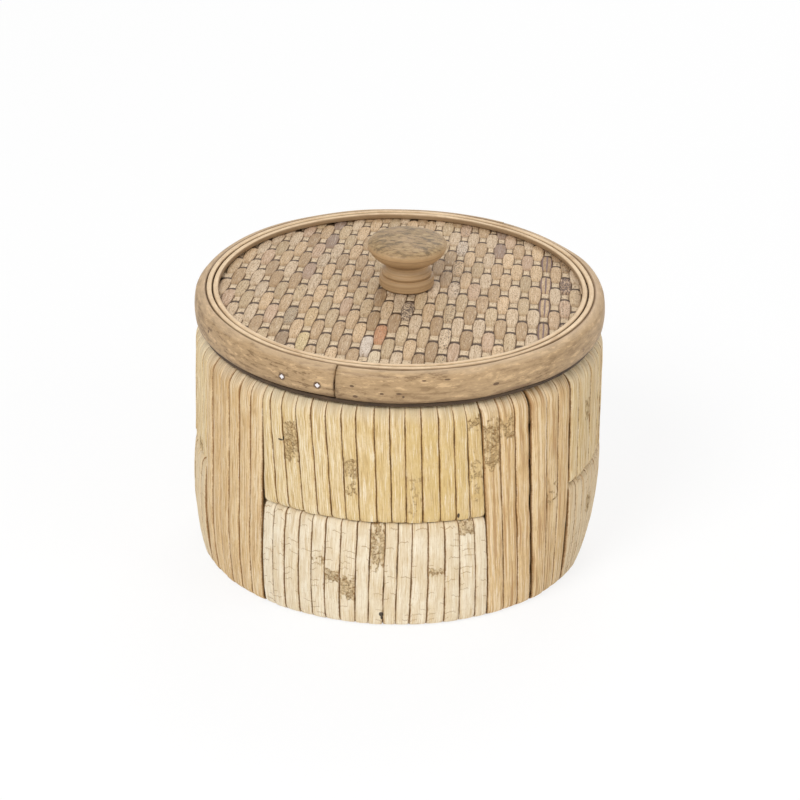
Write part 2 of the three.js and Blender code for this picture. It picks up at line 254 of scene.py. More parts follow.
def read_floats(mesh, name):
    values = [0.0] * len(mesh.vertices)
    mesh.attributes[name].data.foreach_get("value", values)
    return values


def dress(piece, body, slot, *stands_for):
    """Says what the piece rides on and which nodes it stands for. The slot is not used."""
    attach(piece, body)
    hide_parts(*stands_for)
    return piece


# %% [markdown]
# A wall strip is a ribbon of flat cane bent right round the poles, so it is a loop: up the outside,
# over the rim, down the inside and under the foot. The tree sweeps a crowned section along one loop
# with rounded corners, and sets copies side by side. Their widths vary as hand work does, so the
# places come from an accumulated sum of random widths.

# %% The form of a wrap
LOOP_STEP = 1.7 * MM


def strip_form():
    form = Form("strip_wrap", "Start Sweep Inner Outer Low High LowRound HighRound Thickness Gap Crown "
                "WidthJitter Wobble Lift Bulge DrawIn DrawInHeight Lean LowJitter HighJitter", "Strips Seed")
    given = form.given
    inner, outer, low, high = given.Inner, given.Outer, given.Low, given.High
    thickness, strips, seed = given.Thickness, given.Strips, given.Seed
    height = high - low
    loop = form.geo("CurvePrimitiveQuadrilateral", Width=outer - inner - thickness, Height=height - thickness)
    is_high = form.position()[1].math("GREATER_THAN", 0)
    rounding = given.LowRound * (1 - is_high) + given.HighRound * is_high - thickness * 0.5
    loop = form.geo("FilletCurve", loop, Radius=rounding, Count=6, mode="POLY")
    loop = form.geo("ResampleCurve", loop, Length=LOOP_STEP, mode="LENGTH")
    share = form.geo("SplineParameter") + 0.5
    loop = form.store(loop, "along", share.math("FRACT") * (height + outer - inner) * 2)
    loop = form.geo("Transform", loop, Rotation=(math.pi / 2, 0, -math.pi / 2),
                    Translation=form.vector(0, (inner + outer) * -0.5, (low + high) * 0.5))
    width = outer * given.Sweep / strips - given.Gap
    section = form.geo("CurvePrimitiveQuadrilateral", Width=width, Height=thickness)
    section = form.geo("SubdivideCurve", section, Cuts=2)
    section = form.geo("FilletCurve", section, Radius=thickness * 0.3, Count=1, mode="POLY")
    across, depth, _ = form.position()
    side = across / width
    crown = given.Crown * (1 - side * side * 4) * depth.math("SIGN")
    section = form.geo("SetPosition", section, Offset=form.vector(0, crown, 0))
    section = form.store(section, "across", side + 0.5)
    ribbon = form.geo("CurveToMesh", loop, Profile_Curve=section)
    points = form.geo("Points", Count=strips)
    share = 1 + given.WidthJitter * form.random(-1, 1, seed)
    sums = form.node("GeometryNodeAccumulateField", share, data_type="FLOAT")
    before, total = Wire(form, sums.outputs[1]), Wire(form, sums.outputs[2])
    angle = given.Start + given.Sweep * (before + share * 0.5) / total
    facing = form.vector(0, 0, angle)
    copies = form.geo("InstanceOnPoints", points, Instance=ribbon, Rotation=facing,
                      Scale=form.vector(share * strips / total, 1, 1))
    copies = form.store(copies, "strip", form.random(0, 1, seed + 7), "INSTANCE")
    wall = form.geo("RealizeInstances", copies)
    x, y, z = form.position()
    outward = form.put("ShaderNodeVectorMath", form.vector(x, y, 0), operation="NORMALIZE")
    ox, oy, _ = form.split(outward)
    strip, along = form.stored("strip", "along")
    lean = form.noise(strip * 90, along * 80, 0, 1, 0.5) - 0.5
    swell = form.noise(strip * 70 + 5, along * 110, 3, 1, 0.5) - 0.5
    rise = (z - low) / height
    belly = given.Bulge * rise * (1 - rise) * 4
    stand = (strip - 0.5) * given.Lift + swell * given.Lift + belly
    sway = lean * given.Wobble
    radius = form.reach(x, y)
    fall = (1 - z / given.DrawInHeight).math("MAXIMUM", 0)
    stand = stand - given.DrawIn * fall * fall * (radius - inner) / (outer - inner)
    pull = given.Lean * fall
    ends = given.LowJitter * (1 - rise) + given.HighJitter * rise
    uneven = ends * form.random(-1, 1, 5, (strip * 9999).math("ROUND"))
    offset = form.vector(ox * stand - oy * sway - pull, oy * stand + ox * sway, uneven)
    return form.finish(form.geo("SetPosition", wall, Offset=offset))


strip_wrap = strip_form()
print("inputs of a wrap", len(strip_wrap.names))


# %% [markdown]
# A finish is a Principled shader plus what varies over the surface. The class below keeps a running
# colour, which each step tints where a factor says so, and ends with roughness and bump.

# %% Finishes
NOMINAL_RADIUS = 0.1
BLOT_RAGGEDNESS = 0.8
FINISHES = {}


class Finish(Net):
    """A material whose shader is Principled, with helpers for natural fibre."""

    def __init__(self, name, specular):
        self.material = bpy.data.materials.new(name)
        self.material.use_nodes = True
        super().__init__(self.material.node_tree)
        self.shader = self.fill(self.tree.nodes["Principled BSDF"], Specular_IOR_Level=specular)
        FINISHES[name] = self.material

    def attributes(self, *names):
        return [self.put("ShaderNodeAttribute", attribute_name=name, out=2) for name in names]

    def place(self):
        """The Object coordinates, which stay with a piece when its body moves."""
        return self.split(self.put("ShaderNodeTexCoord", out=3))

    def around(self):
        """The place on the wall: metres round the axis, distance from the axis and height."""
        x, y, z = self.place()
        return x.math("ARCTAN2", -y) * NOMINAL_RADIUS, self.reach(x, y), z

    def tint(self, factor, colour):
        under, over = (value if isinstance(value, Wire) else (*value, 1) for value in (self.colour, colour))
        self.colour = self.put("ShaderNodeMix", factor, *[None] * 5, under, over, out=2, data_type="RGBA")

    def base(self, factor, light, deep):
        self.colour = light
        self.tint(factor, deep)

    def chance(self, value, seed):
        """A random number from 0 to 1 for each value of an attribute."""
        return self.put("ShaderNodeTexWhiteNoise", Vector=self.vector(value, seed, 0),
                        noise_dimensions="2D")

    def shaded_dents(self, places, factor, colour, depth):
        """Small ragged dents and holes, painted dark for the shade inside them. Each has an angle, a level, a
        width and a height.
        """
        turn, _, z = self.around()
        rough = (self.noise(turn, 0, z, 2, scale=1400) - 0.5) * BLOT_RAGGEDNESS
        total = 0
        for angle, level, wide, high in places:
            aside = (turn - math.radians(angle) * NOMINAL_RADIUS) / (wide * MM / 2)
            above = (z - level * MM) / (high * MM / 2)
            total = (1 - (aside * aside + above * above + rough).smooth(0.7, 1.1)).math("MAXIMUM", total)
        self.tint(total * factor, colour)
        return total * depth

    def done(self, roughness, height):
        """Ends the finish with its roughness and a bump from a height in metres."""
        bump = self.put("ShaderNodeBump", Height=height, Distance=1, Strength=1)
        self.fill(self.shader, Base_Color=self.colour, Roughness=roughness, Normal=bump)


# %% [markdown]
# Cane skin is satin and yellow, with fine fibre lines along the strip, thin brown edges where strips
# meet, which are partly their own colour and partly painted shade of the grooves between them, and
# rough brown patches at the leaf nodes. The skin grows darker and streakier towards the right side of
# the box, and the skin of the lower ring has dried and cracked across. A painted highlight lightens the
# strips where they bend over the rim. One recipe does all, with different colours and amounts.

# %% The finish of cane strips
# Brown of the strip edges, which also stands for painted shade in the grooves between strips.
EDGE_BROWN_AND_GROOVE_SHADE = (0.28, 0.135, 0.04)
# The colour of the painted highlight where the strips bend over the rim.
BEND_HIGHLIGHT = (0.86, 0.76, 0.6)
KNOT_BROWN = (0.3, 0.17, 0.06)


def cross_cracks(skin, across, along, strip):
    """Short bowed lines across a strip. Each starts at one edge and has a length of its own."""
    waver = skin.noise(across * 3.5, along * 25, strip * 37, 2, 0.7) - 0.5
    bowed = (across - 0.5) * (across - 0.5) * 1.4
    place = along * 290 + waver + bowed
    cell = place.math("FLOOR")
    line = 1 - (place - cell - 0.5).math("ABSOLUTE").smooth(0.03, 0.09)
    draw = skin.chance(cell * 0.37, strip * 91)
    flip = skin.chance(cell * 0.61, strip * 57).math("GREATER_THAN", 0.5)
    from_edge = across * flip + (1 - across) * (1 - flip)
    reach = (draw - 0.5) * 1.6
    return line * (1 - (from_edge - reach).smooth(-0.02, 0.05))


def cane(name, light, deep, stain, cracks=0, stains=0.35, grain=1, right_darkening=0.5, ripe=0, streaky=0,
         shaded_dents=()):
    skin = Finish(name, 0.4)
    across, along, strip, mark = skin.attributes("across", "along", "strip", "mark")

    def fibre(wide, long, each, detail=3, rough=0.6, scale=1):
        return skin.noise(across * wide, along * long, strip * each, detail, rough, scale)

    fibres = fibre(12, 130, 91, 4, scale=2.2)
    lines = fibre(17, 70, 67, rough=0.7)
    blotch = fibre(0.7, 160, 53)
    zone = skin.noise(across * 1.3 + strip * 29, along * 55, strip * 3)
    skin.base(skin.chance(strip, 1.7) * 0.5 + blotch * 0.9 - 0.2, light, deep)
    skin.tint(zone.smooth(0.46, 0.62) * 0.65, deep)
    turn, _, z = skin.around()
    if ripe:
        golden = turn.smooth(-0.045, 0.005) * (1 - turn.smooth(0.05, 0.08))
        skin.tint(golden * zone.smooth(0.4, 0.54) * ripe, (0.65, 0.47, 0.19))
        skin.tint((1 - golden) * lines.smooth(0.56, 0.45) * ripe, (0.8, 0.68, 0.45))
    skin.tint(lines.smooth(0.46, 0.34) * 0.55, (0.9, 0.83, 0.68))
    skin.tint(lines.smooth(0.54, 0.64) * 0.7 * grain, stain)
    skin.tint(fibres.smooth(0.55, 0.72) * 0.5 * grain, stain)
    ticks = fibre(9, 1500, 31, rough=0.7)
    skin.tint(ticks.smooth(0.58, 0.68) * stains, stain)
    if cracks:
        skin.tint(turn.math("ABSOLUTE").smooth(0.075, 0.09) * 0.6, (0.64, 0.475, 0.26))
    # Painted highlight: the strips are lightened where they bend over the rim and face the light.
    lit_bend = (z - 0.002 * lines).smooth(0.1085, 0.117)
    skin.tint(lit_bend * 0.35, BEND_HIGHLIGHT)
    # Darker and streakier towards the right side of the box.
    darker_right = turn.smooth(0.03, 0.075) * right_darkening
    skin.tint(darker_right * 0.35, deep)
    streak = fibre(9, 20, 43)
    lively = (darker_right + streaky).math("MINIMUM", 1)
    skin.tint(lively * streak.smooth(0.53, 0.59) * 0.9, (0.43, 0.245, 0.1))
    skin.tint(lively * streak.smooth(0.45, 0.38) * 0.75, (0.78, 0.625, 0.415))
    grit = fibre(5, 800, 17, rough=0.7)
    swirl = fibre(3, 260, 7, 2)
    knot = (mark + (swirl - 0.5) * 1.6 - 0.25).smooth(0.1, 0.3) * mark.math("GREATER_THAN", 0.01)
    skin.tint(knot * 0.5, (0.6, 0.42, 0.2))
    rough_lines = grit.smooth(0.5, 0.58) * 0.6 + (swirl * 14).math("SINE").smooth(0.75, 0.95) * 0.6
    skin.tint(knot * rough_lines * 0.8, KNOT_BROWN)
    waver = (fibre(3, 600, 19) - 0.5) * 0.2
    # Brown edges where strips meet, partly their own colour and partly painted shade of the grooves.
    edge_and_gap_shade = ((across - 0.5).math("ABSOLUTE") * 2 + waver).smooth(0.88, 0.99)
    skin.tint(edge_and_gap_shade * (0.5 + ticks * 0.8), EDGE_BROWN_AND_GROOVE_SHADE)
    height = fibres * 0.00008 + lines * 0.00012 - edge_and_gap_shade * 0.00015 - knot * rough_lines * 0.00035
    if cracks:
        crack = cross_cracks(skin, across, along, strip) * cracks
        skin.tint(crack, (0.38, 0.23, 0.1))
        height = height - crack * 0.0001
    if shaded_dents:
        height = height - skin.shaded_dents(shaded_dents, 0.95, (0.035, 0.02, 0.012), 0.0003)
    skin.done(0.42 + blotch * 0.25 + knot * 0.3, height)


cane("straw_cane", (0.73, 0.57, 0.33), (0.61, 0.42, 0.17), (0.4, 0.235, 0.075), ripe=0.5,
     shaded_dents=((-33.9, 94.3, 3, 1), (-33, 95.4, 0.8, 2.4), (17.4, 61.6, 1.3, 2.6)))
cane("pale_cane", (0.84, 0.755, 0.595), (0.69, 0.55, 0.35), (0.49, 0.31, 0.12), cracks=0.75, stains=0.25,
     grain=0.8, right_darkening=0.7, shaded_dents=((-3.7, 7.9, 2.4, 2.8), (-3.6, 5.8, 1, 2.4), (-39.6, 56.6, 1.2, 1.6)))
cane("tan_cane", (0.77, 0.59, 0.345), (0.62, 0.415, 0.19), (0.38, 0.215, 0.075), grain=1.3, right_darkening=0.8,
     streaky=0.5)
print("finishes of cane", list(FINISHES))


# %% [markdown]
# The wall has four full-height bindings, and between them four spans where an upper and a lower row
# of strips meet at the seam. Each row is one piece that stands for its node of the construction.

# %% The wraps of the wall
STRIP_THICKNESS = 1.5 * MM
ROWS = {
    # slot, then in mm: pitch, rounding at the bottom and the top, bulge, unevenness of the bottom and the top
    "upper": ("straw_cane", 7.65, 2.4, 9, 0, 0.3, 0),
    "lower": ("pale_cane", 7.2, 3.4, 3.2, 0.9, 0, 0.25),
    "binding": ("tan_cane", 8.3, 3.4, 9, 0, 0, 0),
}
FOOT_DRAW_IN = 5.5 * MM
FOOT_DRAW_IN_HEIGHT = 51 * MM
FOOT_LEAN = 1.6 * MM
FLOOR_CLEARANCE = 0.25 * MM
DARK_JOINT_DEGREES = 0.6
STRIP_FACET_DEGREES = 4.4
WALL_RADIUS = measure("upper_wrap_front").outer * math.cos(math.radians(STRIP_FACET_DEGREES / 2))


def wrap_row(node, seed):
    row = node.split("_")[0]
    slot, pitch, low_round, high_round, bulge, low_jitter, high_jitter = ROWS[row]
    size = measure(node)
    if node.endswith("wrap_front"):
        size.start += DARK_JOINT_DEGREES
    if row != "upper":
        size.low += FLOOR_CLEARANCE
    sweep = math.radians(size.end - size.start)
    piece = strip_wrap.make(
        node.replace("_wrap", "_strips"), Strips=round(sweep * size.outer / (pitch * MM)),
        Start=math.radians(size.start), Sweep=sweep, Inner=size.inner, Outer=WALL_RADIUS, Low=size.low,
        High=size.high, LowRound=low_round * MM, HighRound=high_round * MM, Thickness=STRIP_THICKNESS,
        Gap=0.14 * MM, Crown=0.22 * MM, WidthJitter=0.14, Wobble=0.9 * MM, Lift=0.55 * MM, Bulge=bulge * MM,
        DrawIn=FOOT_DRAW_IN, DrawInHeight=FOOT_DRAW_IN_HEIGHT, Lean=FOOT_LEAN, LowJitter=low_jitter * MM,
        HighJitter=high_jitter * MM, Seed=seed, Material=FINISHES[slot])
    return dress(piece, "box", slot, node)


wall_nodes = sorted(node for node in nodes if "_wrap_" in node)
wall = {node: wrap_row(node, seed) for seed, node in enumerate(wall_nodes, 3)}
print("wraps", {piece.name: len(piece.data.polygons) for piece in wall.values()})


# %% [markdown]
# No strip was laid quite upright. In the front rows they lean to the left on their way up. The lean
# changes smoothly round the wall, so rows and bindings still meet: a short list gives it at a few
# angles, and each point turns by its share.

# %% The lean of the strips
LEAN_ROUND_THE_WALL = [
    # angle, turn at the seam in degrees, lean above and below it in radians for each metre, turn of the foot
    (-70, 0, 0, 0, 0),
    (-40.25, 0, 0, 0, -0.017),
    (-37, 0, 0.95, 0, -0.014),
    (-24, 0, 0.95, 0, 0),
    (-12, 0, 0.6, 0, 0),
    (4, 0, 0.3, 0.22, 0.004),
    (14, 0, 0.4, 0.55, 0.014),
    (25.5, 0, 0.7, 0.8, 0.028),
    (41, 0, 0.3, 0.78, 0.05),
    (54, 3, 0.3, 0, 0.08),
    (75, 1.2, 0.2, 0, 0.06),
    (100, 0, 0, 0, 0),
]


def lean_at(angle):
    for near, far in zip(LEAN_ROUND_THE_WALL, LEAN_ROUND_THE_WALL[1:]):
        if near[0] <= angle < far[0]:
            share = (angle - near[0]) / (far[0] - near[0])
            return [a + share * (b - a) for a, b in zip(near[1:], far[1:])]
    return 0, 0, 0, 0


def lean_strips(piece, seam):
    for vertex in piece.data.vertices:
        place = vertex.co
        angle = front_angle(place.x, place.y)
        shift, above, below, foot = lean_at(angle)
        drop = seam - place.z
        fall = max(0, 1 - place.z / FOOT_DRAW_IN_HEIGHT)
        turn = math.radians(angle + shift) + drop * (below if drop > 0 else above) + foot * fall * fall
        place.x, place.y = polar(math.hypot(place.x, place.y), turn)


# %% [markdown]
# A cane grows with rough leaf nodes, and the weaver can't cut around all of them. The few that show
# are listed one by one. Only the strip under the place takes the mark, so its edge stays sharp.

# %% Leaf nodes on the strips
LEAF_NODES = {
    # angle in degrees, height and length in mm, and strength
    "upper_wrap_front": [(-30.2, 95, 17, 1), (-12.2, 87, 8, 0.9), (21.5, 110, 9, 0.5),
                         (21.8, 80, 26, 0.35), (4.6, 74, 30, 0.3), (-14, 76, 10, 0.4)],
    "lower_wrap_front": [(-4.2, 47, 22, 0.7), (-16.9, 28, 6, 1), (-13.6, 21.5, 11, 0.8),
                         (19.9, 54.5, 6, 0.9), (-23.1, 35.4, 5, 0.5), (10, 32, 6, 0.5)],
    "binding_wrap_right": [(28, 97, 24, 0.8), (31.5, 104, 12, 0.6), (50, 60, 14, 0.4)],
    "upper_wrap_left": [(-74, 62.5, 7, 0.8), (-100, 88, 12, 0.8)],
    "upper_wrap_right": [(66, 92, 12, 0.6), (84, 75, 10, 0.8)],
    "lower_wrap_left": [(-84, 42, 8, 0.8)],
    "lower_wrap_right": [(72, 38, 9, 0.7), (97, 24, 7, 0.8)],
    "upper_wrap_back": [(150, 96, 10, 0.9), (176, 80, 14, 0.7), (192, 104, 8, 0.6)],
    "lower_wrap_back": [(160, 36, 9, 0.9), (185, 48, 7, 0.7)],
}
OUTER_SKIN = 0.93
MARK_FADE = 1.6


def mark_leaf_nodes(piece, places):
    mesh = piece.data
    strips = read_floats(mesh, "strip")
    marks = [0.0] * len(strips)
    for angle, level, length, strength in places:
        spot = Vector((*polar(WALL_RADIUS, math.radians(angle)), level * MM))
        nearest = min(range(len(strips)), key=lambda index: (mesh.vertices[index].co - spot).length)
        for index, vertex in enumerate(mesh.vertices):
            on_strip = abs(strips[index] - strips[nearest]) < 1e-5
            if on_strip and math.hypot(*vertex.co.xy) > OUTER_SKIN * WALL_RADIUS:
                reach = abs(vertex.co.z - level * MM) / (length * MM / 2)
                marks[index] = max(marks[index], strength * max(0.0, min(1.0, MARK_FADE - reach)))
    write_floats(mesh, "mark", marks)


# %% [markdown]
# In the right binding the strips have shrunk apart, and a dark gap runs up its middle. The strips on
# each side of the gap are squeezed a little in angle to open it, which keeps both outer edges in place.

# %% The open gap of the right binding
GAP_DEGREES = 41
GAP_HALF_DEGREES = 0.3
GAP_SLOPE_FOR_EACH_METRE = -8


def open_gap(node):
    size = measure(node)
    mesh = wall[node].data
    strips = read_floats(mesh, "strip")
    turns = [front_angle(vertex.co.x, vertex.co.y) for vertex in mesh.vertices]
    spans = {}
    for value, turn in zip(strips, turns):
        spans.setdefault(round(value, 5), []).append(turn)
    ordered = sorted(spans, key=lambda value: sum(spans[value]) / len(spans[value]))
    left = set(ordered[:len(ordered) // 2])
    border = max(max(spans[value]) for value in left)
    for vertex, value, turn in zip(mesh.vertices, strips, turns):
        middle = GAP_DEGREES + GAP_SLOPE_FOR_EACH_METRE * (vertex.co.z - size.high / 2)
        fixed, side = (size.start, -1) if round(value, 5) in left else (size.end, 1)
        share = (turn - fixed) / (border - fixed)
        goal = fixed + share * (middle + side * GAP_HALF_DEGREES - fixed)
        vertex.co.x, vertex.co.y = polar(math.hypot(vertex.co.x, vertex.co.y), math.radians(goal))


open_gap("binding_wrap_right")
seam_level = measure("lower_wrap_front").high
for node, piece in wall.items():
    lean_strips(piece, seam_level)
    mark_leaf_nodes(piece, LEAF_NODES.get(node, ()))
print("seam level in mm", round(seam_level / MM, 1))


# %% [markdown]
# The hoops are rattan poles with their skin on: tan, with long faint streaks, darker clouds, and open
# pores that show as short dark dashes. The streaks follow the hoop, so the material works out its own
# angle about the axis from Object coordinates.

# %% The finish of rattan poles and hoops
def pole(name, light, deep, stain, pores=0.5, clouds=0.6, gloss=0.5, mottle=0, painted_shade_levels=None,
         lit_top_level=None, joints=(), shaded_dents=()):
    skin = Finish(name, 0.35)
    turn, out, z = skin.around()
    streaks = skin.noise(turn * 26, out * 900, z * 900, 4)
    cloud = skin.noise(turn * 42, out * 110, z * 130)
    wide = skin.noise(turn * 11, out * 20, z * 40, 2, 0.5)
    skin.base(cloud * 0.9 + wide * 0.7 - 0.35, light, deep)
    skin.tint(streaks.smooth(0.5, 0.72) * 0.45, stain)
    skin.tint(cloud.smooth(0.58, 0.74) * clouds, stain)
    height = streaks * 0.00006 + cloud * 0.00012
    if mottle:
        flecks = skin.noise(turn * 120, out * 420, z * 430, 5, 0.72)
        patch = wide.smooth(0.42, 0.58) * 0.5 + 0.5
        skin.tint(flecks.smooth(0.52, 0.62) * patch * mottle, stain)
        skin.tint(flecks.smooth(0.47, 0.36) * mottle, [value * 1.25 for value in light])
        height = height + flecks * 0.0001
    dashes = skin.noise(turn * 420, out * 1300, z * 1300, 2, 0.5)
    pore = dashes.smooth(0.66, 0.74) * wide.smooth(0.4, 0.6) * pores
    skin.tint(pore, (0.16, 0.085, 0.03))
    # Painted highlight along the rounded top of the hoop.
    if lit_top_level:
        top_highlight = (z + (cloud - 0.5) * 0.006).smooth(lit_top_level - 2.2 * MM, lit_top_level - 0.6 * MM)
        skin.tint(top_highlight * 0.4, (0.62, 0.455, 0.29))
    # Painted shade: the hoop darkens towards its lower edge, which overhangs the wall.
    if painted_shade_levels:
        dark_level, unshaded_level = painted_shade_levels
        painted_shade = (z + (cloud - 0.5) * 0.008).smooth(unshaded_level, dark_level)
        skin.tint(painted_shade * 0.85, (0.15, 0.085, 0.04))
    # Painted shade: thin dark lines at these radii, in the creases where the hoop, the edge strips and the
    # panel meet.
    for radius in joints:
        line = 1 - (out - radius).math("ABSOLUTE").smooth(0.0002, 0.0007)
        skin.tint(line * 0.75, (0.17, 0.095, 0.04))
    if shaded_dents:
        height = height - skin.shaded_dents(shaded_dents, 0.85, (0.1, 0.055, 0.03), 0.0002)
    skin.done(gloss - 0.08 + cloud * 0.22, height - pore * 0.0002)


HOOP_MARKS = (
    # angle in degrees, then level, width and height in mm
    (-12.6, 130.4, 2.2, 1.2), (-11.6, 125.1, 2.6, 1.4), (-4.4, 127.7, 2, 1), (0.2, 128, 2.6, 1),
    (1.4, 126.4, 1.2, 1.2), (27.3, 129, 3.4, 1.5), (13.3, 134.5, 3, 0.8), (6.9, 134.5, 2.4, 0.7),
    (-66, 131, 1.6, 1.6), (-17.5, 129.5, 1.1, 15), (-33.4, 128, 4, 4), (-22.4, 128, 4, 4))
hoop_size = measure("lid_hoop_right")
outer_strip = measure("lid_edge_strip_outer")
inner_strip = measure("lid_edge_strip_inner")
pole("hoop_rattan", (0.47, 0.32, 0.175), (0.345, 0.22, 0.105), (0.2, 0.12, 0.055), 0.8, mottle=0.95,
     painted_shade_levels=(hoop_size.low, hoop_size.low + 3.8 * MM), lit_top_level=hoop_size.high,
     joints=(hoop_size.inner,), shaded_dents=HOOP_MARKS)
pole("edge_cane", (0.74, 0.57, 0.37), (0.6, 0.41, 0.235), (0.39, 0.235, 0.11), 0.4, 0.5, mottle=0.4,
     joints=(outer_strip.outer, inner_strip.outer + 0.15 * MM, inner_strip.inner))
pole("pole_rattan", (0.64, 0.47, 0.27), (0.5, 0.34, 0.17), (0.36, 0.22, 0.09), 0.5, 0.5, 0.6)
pole("dark_wood", (0.095, 0.056, 0.028), (0.045, 0.027, 0.013), (0.02, 0.012, 0.007), 0.3, 0.6, 0.6,
     mottle=0.6)


# %% [markdown]
# Hoops, rings and the knob are all turned about an axis, so one function sweeps a section round it. A
# bent pole is never perfectly round, so an unevenness can be added. Its noise is read at a place on
# the circle itself, so a full turn meets its own start.

# %% Turned pieces
def arc(centre_r, centre_z, reach_r, reach_z, start, end, steps):
    turns = [math.radians(start + (end - start) * step / steps) for step in range(steps + 1)]
    return [(max(0, centre_r + reach_r * math.cos(turn)), centre_z + reach_z * math.sin(turn))
            for turn in turns]


def rounded(size, radii, steps, crown=0):
    """A closed section. The radii go round from the low outer corner, and the outer side has a crown."""
    inner, outer, low, high = size.inner, size.outer, size.low, size.high
    corners = ((outer, low, -1, 1), (outer, high, -1, -1), (inner, high, 1, -1), (inner, low, 1, 1))
    points = []
    for corner, ((r, z, side, lift), radius) in enumerate(zip(corners, radii)):
        first = 90 * corner - 90
        points += arc(r + side * radius, z + lift * radius, radius, radius, first, first + 90, steps)
        if corner == 0 and crown:
            for step in range(1, steps):
                share = step / steps
                bow = crown * 4 * share * (1 - share)
                points.append((outer + bow, low + radii[0] + share * (high - low - radii[0] - radii[1])))
    return points


def turned(name, body, slot, node, section, step, start=0, end=360, centre=(0, 0), uneven=0, seed=0,
           loop=True):
    """Sweeps a section about the upright axis. An open section starts and ends on the axis."""
    whole = end - start >= 360
    count = round((end - start) / step)
    mesh = bmesh.new()
    rows = []
    for index in range(count if whole else count + 1):
        turn = math.radians(start + (end - start) * index / count)
        place = Vector((math.sin(turn) * 3, math.cos(turn) * 3, seed * 7.3))
        out = uneven * noise.noise(place)
        lift = uneven * noise.noise(place + Vector((0, 0, 40)))
        rows.append([])
        for r, z in section:
            x, y = polar(r + out, turn)
            rows[-1].append(mesh.verts.new((centre[0] + x, centre[1] + y, z + lift)))
    for index in range(len(rows) if whole else len(rows) - 1):
        near, far = rows[index], rows[(index + 1) % len(rows)]
        for side in range(len(section) if loop else len(section) - 1):
            after = (side + 1) % len(section)
            mesh.faces.new((near[side], near[after], far[after], far[side]))
    if not whole:
        mesh.faces.new(rows[0])
        mesh.faces.new(rows[-1])
    bmesh.ops.remove_doubles(mesh, verts=mesh.verts, dist=1e-7)
    bmesh.ops.recalc_face_normals(mesh, faces=mesh.faces)
    made = bpy.data.meshes.new(name)
    mesh.to_mesh(made)
    mesh.free()
    made.shade_smooth()
    made.materials.append(FINISHES[slot])
    dress(add_object(name, made), body, slot, node)


# %% [markdown]
# The lid's outer hoop is a half-round pole in two halves, cut square where they butt, with a slight
# crown outside and a well rounded top edge. The other rings are full circles, and the poles inside
# the wall keep their measured form.

# %% The lid hoops and rings
HOOP_CORNERS = (3.2 * MM, 4.4 * MM, 0.8 * MM, 0.5 * MM)
HOOP_CROWN = 0.35 * MM
HOOP_UNEVEN = 0.5 * MM
RING_FACET_DEGREES = 7.5
RINGS = [
    # place, name, slot, corner radius and unevenness in mm, and step in degrees
    ("lid", "edge_strip_outer", "edge_cane", 0.75, 0.25, 1.5),
    ("lid", "edge_strip_inner", "edge_cane", 0.75, 0.25, 1.5),
    ("lid", "seat_ring", "dark_wood", 0.5, 0.2, 3),
    ("lid", "locating_ring", "pole_rattan", 1, 0.3, 3),
    ("lid", "frame_hoop", "pole_rattan", 1.8, 0.2, 3),
    ("bottom", "ledge_hoop", "pole_rattan", 1.6, 0.3, 3),
    ("bottom", "cover_hoop", "pole_rattan", 1.6, 0.3, 3),
]

for seed, node in enumerate(("lid_hoop_left", "lid_hoop_right"), 1):
    size = measure(node)
    section = [(r - HOOP_CROWN, z) for r, z in rounded(size, HOOP_CORNERS, 6, HOOP_CROWN)]
    turned(node + "_pole", "lid", "hoop_rattan", node, section, 1.5, size.start, size.end,
           uneven=HOOP_UNEVEN, seed=seed)
facet = math.cos(math.radians(RING_FACET_DEGREES / 2))
for place, name, slot, radius, uneven, step in RINGS:
    node = f"{place}_{name}"
    size = measure(node)
    size.inner /= facet
    size.outer *= facet
    turned(name, "lid" if place == "lid" else "box", slot, node, rounded(size, [radius * MM] * 4, 3), step,
           uneven=uneven * MM, seed=len(name))
for node in sorted(nodes):
    if "_pole_hoop_" in node:
        nodes[node].data.materials.clear()
        nodes[node].data.materials.append(FINISHES["pole_rattan"])
print("rings", [ring[1] for ring in RINGS])


# %% [markdown]
# The lid panel is woven: flat warps lie side by side, and thin wefts cross them far apart. A warp is
# wide where it floats on top and narrow where it dives under a weft, so neighbours nest like bricks.
# One cosine drives all of it: at +1 the warp floats, and at -1 it is under the weft. Neighbouring warps
# are half a wave apart.

# %% The form of a woven panel
WARP_FACES = (6, 156)
WEFT_FACES = (3, 130)


